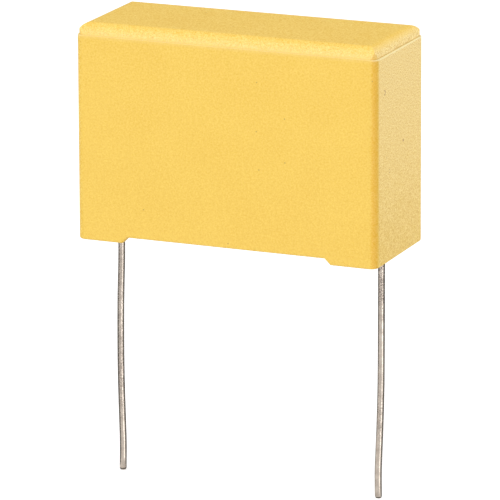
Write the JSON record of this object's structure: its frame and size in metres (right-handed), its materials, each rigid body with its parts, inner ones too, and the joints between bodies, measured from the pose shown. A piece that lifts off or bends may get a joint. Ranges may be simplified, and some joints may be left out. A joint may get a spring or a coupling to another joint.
{
  "type": "box film safety capacitor",
  "caption": "Box-type film safety capacitor: moulded case with seating feet, resin-filled underside and straight wire leads for a circuit board.",
  "frame": {"origin": "on the seating plane under the case's feet, midway between the two lead axes", "axes": "+X along the lead pitch and the case's length, +Y towards the rear long wall, +Z from the seating plane to the closed top"},
  "size_m": [0.0312, 0.0124, 0.0467],
  "materials": {
    "case_plastic": "satin moulded polyester, fine spark-eroded grain",
    "casting_resin": "cast epoxy, cured flat with a small meniscus",
    "metallised_film": "wound polypropylene film with an evaporated metal layer",
    "sprayed_zinc": "arc-sprayed zinc, rough",
    "tinned_wire": "tin-plated copper wire, drawn"
  },
  "bodies": {
    "root": {"case": "case_plastic", "potting_resin": "casting_resin", "film_winding": "metallised_film", "end_spray_left": "sprayed_zinc", "end_spray_right": "sprayed_zinc", "lead_left": "tinned_wire", "lead_right": "tinned_wire"}
  },
  "joints": []
}
